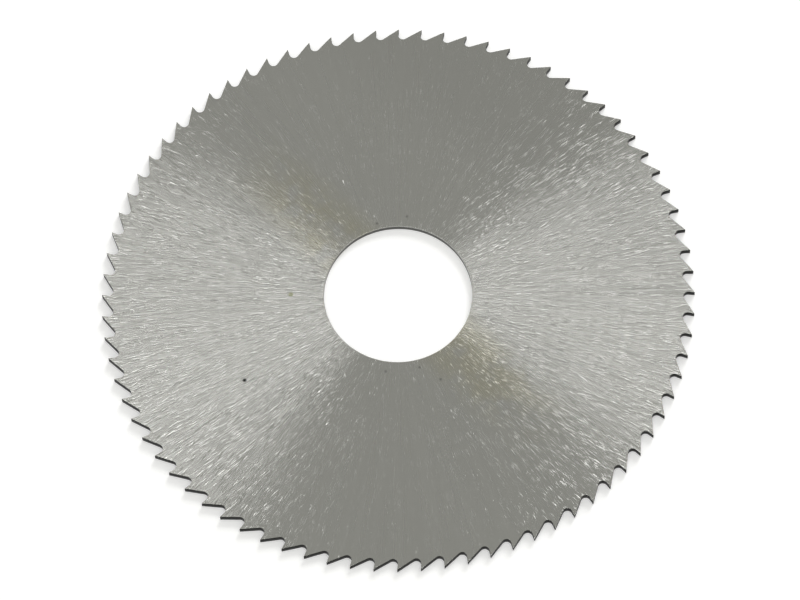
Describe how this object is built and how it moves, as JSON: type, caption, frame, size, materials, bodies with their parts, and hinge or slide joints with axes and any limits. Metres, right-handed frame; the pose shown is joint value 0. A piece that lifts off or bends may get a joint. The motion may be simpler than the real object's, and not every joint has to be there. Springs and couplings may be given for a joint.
{
  "type": "slitting saw",
  "caption": "Thin round steel slitting saw with fine pointed teeth all round its rim and a plain central bore, clamped on an arbor to cut narrow slots in metal.",
  "frame": {"origin": "centre of the bore, in the plane that the saw lies on", "axes": "+Z along the bore, up from the face that the saw lies on; +X through the tip of a tooth; seen from +Z the teeth point clockwise"},
  "size_m": [0.04, 0.04, 0.0005],
  "materials": {
    "ground_tool_steel": "side faces ground with fine crossing scratches that run nearly along the radius, teeth cut and left sharp"
  },
  "bodies": {
    "root": {"saw_blade": "ground_tool_steel"}
  },
  "joints": []
}
